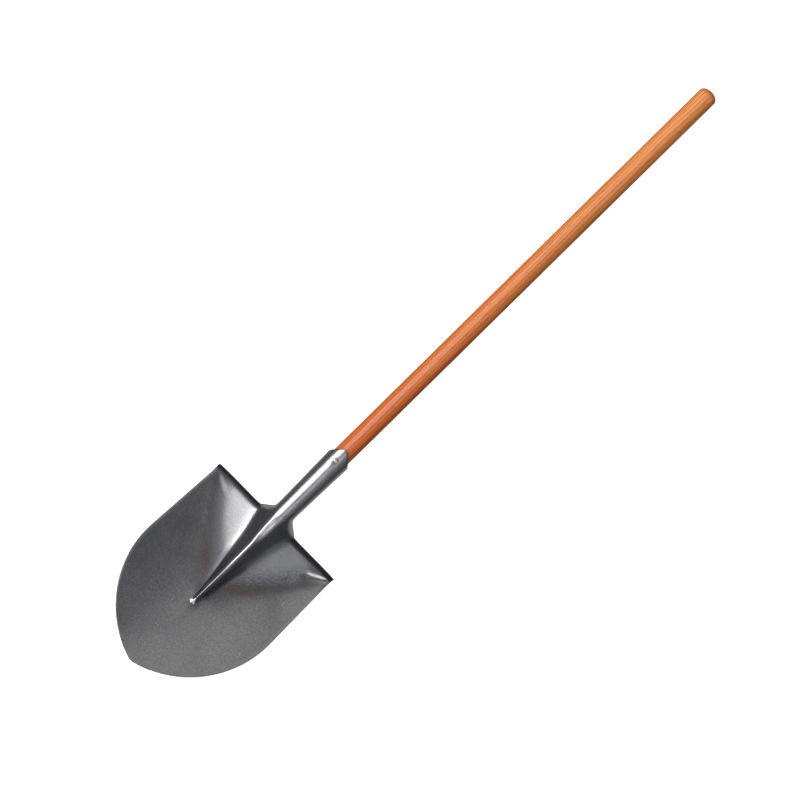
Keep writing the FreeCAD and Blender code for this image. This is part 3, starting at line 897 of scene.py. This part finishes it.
def make_screw():
    """A raised countersunk wood screw with a plain shank and a cross recess."""
    top = socket_radius(SCREW_Y) + SCREW_PROUD
    bottom = top - SCREW_LENGTH
    profile = [(0.0, bottom), (SCREW_TIP_RADIUS, bottom)]
    profile += [(SCREW_SHANK_RADIUS, bottom + SCREW_POINT)]
    profile += [(SCREW_SHANK_RADIUS, top - SCREW_HEAD_DEPTH), (SCREW_HEAD_RADIUS, top)]
    for step in range(1, SCREW_DOME_STEPS + 1):
        radius = SCREW_HEAD_RADIUS * (1.0 - step / SCREW_DOME_STEPS)
        profile.append((radius, top + SCREW_DOME * (1.0 - (radius / SCREW_HEAD_RADIUS) ** 2)))
    middle = Vector((0.0, SCREW_Y, 0.0))
    piece = lathe("fixing_screw_turned", profile, SCREW_SEGMENTS, middle, Matrix.Identity(3))
    floor = top + SCREW_DOME - SLOT_DEPTH
    cut_away(piece, cross_prism(floor, floor + 2.0 * SLOT_DEPTH))
    return piece


screw = make_screw()
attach(screw, "root")
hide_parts("fixing_screw")


# ---- materials ----

def feed(tree, made, inputs):
    """Gives a node its inputs, each a value or another node's output."""
    for name, value in inputs.items():
        if isinstance(value, bpy.types.NodeSocket):
            tree.links.new(value, made.inputs[name])
        else:
            made.inputs[name].default_value = value


def node(tree, kind, inputs=None, **settings):
    """Adds a node with its settings and inputs."""
    made = tree.nodes.new(kind)
    for name, value in settings.items():
        setattr(made, name, value)
    feed(tree, made, inputs or {})
    return made


def calc(tree, operation, a, b=0.0):
    """A sum, product or other operation on two values."""
    return node(tree, "ShaderNodeMath", {0: a, 1: b}, operation=operation).outputs[0]


def remap(tree, value, low, high, to_low, to_high):
    """The value with one range laid on another."""
    inputs = {"Value": value, "From Min": low, "From Max": high, "To Min": to_low, "To Max": to_high}
    return node(tree, "ShaderNodeMapRange", inputs).outputs[0]


def spread(tree, value, to_low, to_high):
    """A noise, most of which lies between 0.3 and 0.7, laid on another range."""
    return remap(tree, value, 0.3, 0.7, to_low, to_high)


def noise(tree, vector, scale, detail=2.0, roughness=0.5, distortion=0.0):
    """Noise with a scale given in features to the metre."""
    inputs = {"Vector": vector, "Scale": scale, "Detail": detail}
    inputs.update({"Roughness": roughness, "Distortion": distortion})
    return node(tree, "ShaderNodeTexNoise", inputs).outputs[0]


def stretched(tree, vector, along_y, turn=0.0):
    """Coordinates scaled along Y, so that a small value draws the features out."""
    inputs = {"Vector": vector, "Scale": (1.0, along_y, 1.0), "Rotation": (0.0, 0.0, turn)}
    return node(tree, "ShaderNodeMapping", inputs).outputs[0]


def two_tone(tree, factor, a, b, blend="MIX"):
    """One colour turning into another."""
    inputs = {0: factor, 6: a, 7: b}
    return node(tree, "ShaderNodeMix", inputs, data_type="RGBA", blend_type=blend).outputs[2]


def bump(tree, height, depth):
    """A normal from fine relief of a depth in metres."""
    inputs = {"Height": height, "Distance": depth, "Strength": 1.0}
    return node(tree, "ShaderNodeBump", inputs).outputs[0]


def new_material(name, piece):
    """A material on the piece: its tree, its shader and the piece's own coordinates."""
    made = bpy.data.materials.new(name)
    made.use_nodes = True
    piece.data.materials.append(made)
    tree = made.node_tree
    return tree, tree.nodes["Principled BSDF"], node(tree, "ShaderNodeTexCoord").outputs["Object"]


# colours are linear red, green and blue, with 1 for opaque
STEEL_DARK = (0.29, 0.29, 0.31, 1.0)
STEEL_LIGHT = (0.46, 0.455, 0.45, 1.0)
POLISHED_DARK = (0.44, 0.44, 0.46, 1.0)
POLISHED_LIGHT = (0.60, 0.60, 0.61, 1.0)
HEAT_TINT = (0.30, 0.21, 0.14, 1.0)
SCRATCHED = (0.75, 0.75, 0.76, 1.0)
# painted shade, laid on the steel as far as the scale value says
PAINTED_SHADE = (0.075, 0.075, 0.095, 1.0)
STEEL_METALLIC = 0.96
SPECKLE_SCALE = 480.0
FINE_GRAIN_SCALE = 1500.0
TINT_PATCH_SCALE = 330.0
CLOUD_SCALE = 17.0
SPECKLE_SHARE = 0.65  # the rest of the tone is cloud
TINT_PATCHES = (0.35, 0.8)  # least and most of the tint that shows
SCRATCH_SCALE = 420.0
SCRATCH_STRETCH = 0.035
SCRATCH_TURN = 0.9
SCRATCH_CUT = (0.70, 0.78)  # the noise between these brings the scratches up
SCRATCH_STRENGTH = 0.30
STEEL_ROUGHNESS = (0.235, 0.30)  # plain, polished
CLOUD_ROUGHNESS = (-0.01, 0.02)  # added by the clouds
SHADE_ROUGHNESS = 0.1  # the same where the shade is painted
GRAIN_LEFT = 0.25  # share of the fine grain left where polished
GRAIN_DEPTH = 0.00003


def steel_material(piece):
    """Satin pressed steel: fine grain, cloudy tone, heat tint, polished socket and ridge, and painted
    shade.
    """
    tree, shader, at = new_material("satin_steel", piece)
    wear_and_shade = node(tree, "ShaderNodeAttribute", attribute_name="wear_and_shade")
    parts = node(tree, "ShaderNodeSeparateColor", {0: wear_and_shade.outputs["Color"]})
    # the third channel, scale, is painted shade
    polish, heat, scale = parts.outputs[0], parts.outputs[1], parts.outputs[2]
    cloud = noise(tree, at, CLOUD_SCALE, detail=4.0, roughness=0.6, distortion=0.6)
    speckles = spread(tree, noise(tree, at, SPECKLE_SCALE, detail=1.0), 0.0, SPECKLE_SHARE)
    tone = calc(tree, "ADD", speckles, spread(tree, cloud, 0.0, 1.0 - SPECKLE_SHARE))
    colour = two_tone(tree, tone, STEEL_DARK, STEEL_LIGHT)
    colour = two_tone(tree, polish, colour, two_tone(tree, tone, POLISHED_DARK, POLISHED_LIGHT))
    patches = spread(tree, noise(tree, at, TINT_PATCH_SCALE), *TINT_PATCHES)
    colour = two_tone(tree, calc(tree, "MULTIPLY", heat, patches), colour, HEAT_TINT)
    streaks = noise(tree, stretched(tree, at, SCRATCH_STRETCH, SCRATCH_TURN), SCRATCH_SCALE, detail=1.0)
    scratch = remap(tree, streaks, *SCRATCH_CUT, 0.0, SCRATCH_STRENGTH)
    colour = two_tone(tree, scratch, colour, SCRATCHED)
    # painted shade darkens the steel here
    colour = two_tone(tree, scale, colour, PAINTED_SHADE)
    rough = remap(tree, polish, 0.0, 1.0, *STEEL_ROUGHNESS)
    rough = calc(tree, "ADD", rough, spread(tree, cloud, *CLOUD_ROUGHNESS))
    rough = calc(tree, "ADD", rough, calc(tree, "MULTIPLY", scale, SHADE_ROUGHNESS))
    grain = noise(tree, at, FINE_GRAIN_SCALE, detail=1.0)
    height = calc(tree, "MULTIPLY", grain, remap(tree, polish, 0.0, 1.0, 1.0, GRAIN_LEFT))
    feed(tree, shader, {"Base Color": colour, "Metallic": STEEL_METALLIC, "Roughness": rough})
    feed(tree, shader, {"Normal": bump(tree, height, GRAIN_DEPTH)})


WOOD_DARK = (0.57, 0.148, 0.024, 1.0)
WOOD_LIGHT = (0.92, 0.353, 0.090, 1.0)
PORE_COLOUR = (0.16, 0.03, 0.006, 1.0)
SOCKET_END_TINT_AND_SHADE = (0.80, 0.49, 0.25, 1.0)
SOCKET_END_Y = (-0.17, 0.50)  # in metres: the tint and painted shade are full here, gone there
RING_LEAN = 0.45  # the rings are crossed along X, and this much along Z
RING_PITCH = 1300.0  # radians to the metre
RING_DRIFT = 16.0  # radians
RING_SHARE = 0.45  # the rest of the tone is fibre
DRIFT_SCALE = 34.0
DRIFT_STRETCH = 0.10
FIBRE_SCALE = 700.0
FIBRE_STRETCH = 0.018
FIBRE_RANGE = (0.25, 0.75)  # range that most of the fibre noise lies in
PORE_SCALE = 1500.0
PORE_STRETCH = 0.05
PORE_CUT = (0.60, 0.72)  # the noise between these brings the pores up
PORE_STRENGTH = 0.45
WOOD_ROUGHNESS = (0.36, 0.46)
VARNISH = 0.7
VARNISH_ROUGHNESS = 0.33
WOOD_RELIEF = 0.00006


def wood_material(piece):
    """Straight-grained turned wood under a satin varnish, redder and darker towards the socket: partly
    the wood's own tone, partly painted shade.
    """
    tree, shader, at = new_material("varnished_wood", piece)
    drift = noise(tree, stretched(tree, at, DRIFT_STRETCH), DRIFT_SCALE)
    place = node(tree, "ShaderNodeSeparateXYZ", {0: at})
    leaning = calc(tree, "MULTIPLY", place.outputs["Z"], RING_LEAN)
    depth = calc(tree, "ADD", place.outputs["X"], leaning)
    phase = calc(tree, "MULTIPLY", depth, RING_PITCH)
    phase = calc(tree, "ADD", phase, calc(tree, "MULTIPLY", drift, RING_DRIFT))
    ring = remap(tree, calc(tree, "SINE", phase), -1.0, 1.0, 0.0, 1.0)
    fibre = noise(tree, stretched(tree, at, FIBRE_STRETCH), FIBRE_SCALE, detail=3.0, roughness=0.6)
    pore = noise(tree, stretched(tree, at, PORE_STRETCH), PORE_SCALE, detail=1.0)
    pore = remap(tree, pore, *PORE_CUT, 0.0, 1.0)
    fibres = remap(tree, fibre, *FIBRE_RANGE, 0.0, 1.0 - RING_SHARE)
    tone = calc(tree, "ADD", calc(tree, "MULTIPLY", ring, RING_SHARE), fibres)
    colour = two_tone(tree, tone, WOOD_DARK, WOOD_LIGHT)
    colour = two_tone(tree, calc(tree, "MULTIPLY", pore, PORE_STRENGTH), colour, PORE_COLOUR)
    # partly painted shade: the handle darkens and reddens towards the socket
    near_socket = remap(tree, place.outputs["Y"], *SOCKET_END_Y, 1.0, 0.0)
    colour = two_tone(tree, near_socket, colour, SOCKET_END_TINT_AND_SHADE, "MULTIPLY")
    rough = remap(tree, fibre, *FIBRE_RANGE, *WOOD_ROUGHNESS)
    relief = calc(tree, "SUBTRACT", fibre, pore)
    feed(tree, shader, {"Base Color": colour, "Roughness": rough})
    feed(tree, shader, {"Coat Weight": VARNISH, "Coat Roughness": VARNISH_ROUGHNESS})
    feed(tree, shader, {"Normal": bump(tree, relief, WOOD_RELIEF)})


ZINC_DARK = (0.74, 0.47, 0.32, 1.0)
ZINC_LIGHT = (0.90, 0.68, 0.53, 1.0)
ZINC_CLOUD_SCALE = 900.0
ZINC_METALLIC = 0.9
ZINC_ROUGHNESS = (0.28, 0.42)
ZINC_RELIEF = 0.00004


def zinc_material(piece):
    """Yellow-plated steel, slightly cloudy and dulled."""
    tree, shader, at = new_material("yellow_zinc", piece)
    cloud = noise(tree, at, ZINC_CLOUD_SCALE, detail=3.0, roughness=0.6)
    colour = two_tone(tree, cloud, ZINC_DARK, ZINC_LIGHT)
    rough = spread(tree, cloud, *ZINC_ROUGHNESS)
    feed(tree, shader, {"Base Color": colour, "Metallic": ZINC_METALLIC, "Roughness": rough})
    feed(tree, shader, {"Normal": bump(tree, cloud, ZINC_RELIEF)})


steel_material(head)
wood_material(handle)
zinc_material(screw)


# ---- stage ----

FLOOR_HALF = 8.0  # in metres
FLOOR_DARK = (0.88, 0.88, 0.88, 1.0)
FLOOR_LIGHT = (0.92, 0.92, 0.92, 1.0)
FLOOR_CLOUD_SCALE = 3.0
FLOOR_ROUGHNESS = 0.9
FLOOR_GLOW = 0.8


def make_floor():
    """A white table that glows in the picture and sheds no light on the shovel."""
    signs = ((-1, -1), (1, -1), (1, 1), (-1, 1))
    corners = [(x * FLOOR_HALF, y * FLOOR_HALF, 0.0) for x, y in signs]
    piece = new_object("floor", new_mesh("floor", corners, [(0, 1, 2, 3)]))
    tree, shader, at = new_material("light_table", piece)
    tint = two_tone(tree, noise(tree, at, FLOOR_CLOUD_SCALE), FLOOR_DARK, FLOOR_LIGHT)
    feed(tree, shader, {"Base Color": tint, "Roughness": FLOOR_ROUGHNESS})
    feed(tree, shader, {"Emission Color": (1.0, 1.0, 1.0, 1.0), "Emission Strength": FLOOR_GLOW})
    piece.visible_diffuse = False
    piece.visible_glossy = False
    piece.visible_shadow = False


make_floor()


def aim(piece, point, up):
    """Turns a light or camera to look at a point, with up at the top."""
    back = (piece.location - point).normalized()
    right = up.cross(back).normalized()
    top = back.cross(right)
    piece.rotation_euler = Matrix((right, top, back)).transposed().to_euler()


WHITE = (1.0, 1.0, 1.0)
WARM = (1.0, 0.975, 0.94)
COOL = (0.94, 0.96, 1.0)
BLADE_MIDDLE = Vector((0.0, -0.38, 0.04))
HANDLE_MIDDLE = Vector((0.0, 0.1, 0.0))
PANEL_DISTANCE = 3.0

# Soft panels: name, angles from straight above in degrees (to +X, to +Y), size in
# metres, radiance, colour. The first ones are reflected in the steel. The wide ones
# light the surfaces and are not reflected.
REFLECTED_PANELS = (
    ("key_panel", (-33.0, -4.5), (2.07, 1.66), 4.1, WHITE),
    ("rear_panel", (-20.0, 44.0), (1.75, 1.8), 0.46, WARM),
    ("back_fill", (20.0, 38.0), (1.8, 1.4), 0.12, COOL),
    ("side_panel", (46.0, -24.0), (2.0, 1.1), 0.8, COOL),
    ("ear_panel", (18.0, -14.0), (0.95, 0.95), 2.9, WHITE),
    ("small_panel", (9.0, 10.0), (0.26, 0.26), 3.2, COOL),
)
WIDE_PANELS = (
    ("overhead", (0.0, 0.0), (3.0, 3.0), 1.4, WHITE),
    ("low_left", (-68.0, 14.0), (1.5, 3.0), 2.6, WHITE),
    ("low_back", (0.0, 66.0), (2.0, 1.5), 1.7, WHITE),
)
# the table's light on the steel from just below the blade
TABLE_GLOW = ("table_glow", (0.0, 0.0), (0.4, 0.46), 0.3, WHITE)
TABLE_GLOW_DISTANCE = -0.1


def area_light(name, angles, size, radiance, tint, look_at, glossy=True, distance=PANEL_DISTANCE):
    """A soft panel that faces the point it lights and is itself out of sight."""
    light = bpy.data.lights.new(name, "AREA")
    light.shape = "RECTANGLE"
    light.size, light.size_y = size
    light.energy = radiance * math.pi * size[0] * size[1]
    light.color = tint
    piece = new_object(name, light)
    aside, forward = angles
    direction = Vector((math.tan(math.radians(aside)), math.tan(math.radians(forward)), 1.0))
    piece.location = look_at + direction.normalized() * distance
    aim(piece, look_at, Vector((0.0, 1.0, 0.0)))
    piece.visible_camera = False
    piece.visible_glossy = glossy


for panel in REFLECTED_PANELS:
    area_light(*panel, BLADE_MIDDLE)
for panel in WIDE_PANELS:
    area_light(*panel, HANDLE_MIDDLE, glossy=False)
area_light(*TABLE_GLOW, BLADE_MIDDLE, distance=TABLE_GLOW_DISTANCE)

WORLD_COLOUR = (0.048, 0.050, 0.060, 1.0)

world = bpy.data.worlds.new("studio")
bpy.context.scene.world = world
world.use_nodes = True
world.node_tree.nodes["Background"].inputs["Color"].default_value = WORLD_COLOUR
bpy.context.scene.view_settings.view_transform = "Standard"


# ---- camera ----

VIEW_CENTRE_Y = 243.9  # middle of the picture in the head's frame, in mm
VIEW_CENTRE_X = 1.2
VIEW_WIDTH = 1.133  # in metres
VIEW_DISTANCE = 20.0  # in metres, for next to no perspective
VIEW_CLIP = 100.0
VIEW_TILT = math.radians(3.4)  # the camera leans from over the handle towards +X
HANDLE_SLOPE = math.radians(44.54)  # the handle against the picture's lower edge

lateral = across * math.cos(VIEW_TILT) - outward * math.sin(VIEW_TILT)
towards = across * math.sin(VIEW_TILT) + outward * math.cos(VIEW_TILT)
picture_up = along * math.sin(HANDLE_SLOPE) - lateral * math.cos(HANDLE_SLOPE)
centre = origin + along * VIEW_CENTRE_Y * MM + lateral * VIEW_CENTRE_X * MM

camera_data = bpy.data.cameras.new("camera")
camera_data.lens = camera_data.sensor_width * VIEW_DISTANCE / VIEW_WIDTH
camera_data.clip_end = VIEW_CLIP
camera = new_object("camera", camera_data)
camera.location = centre + towards * VIEW_DISTANCE
aim(camera, centre, picture_up)
bpy.context.scene.camera = camera
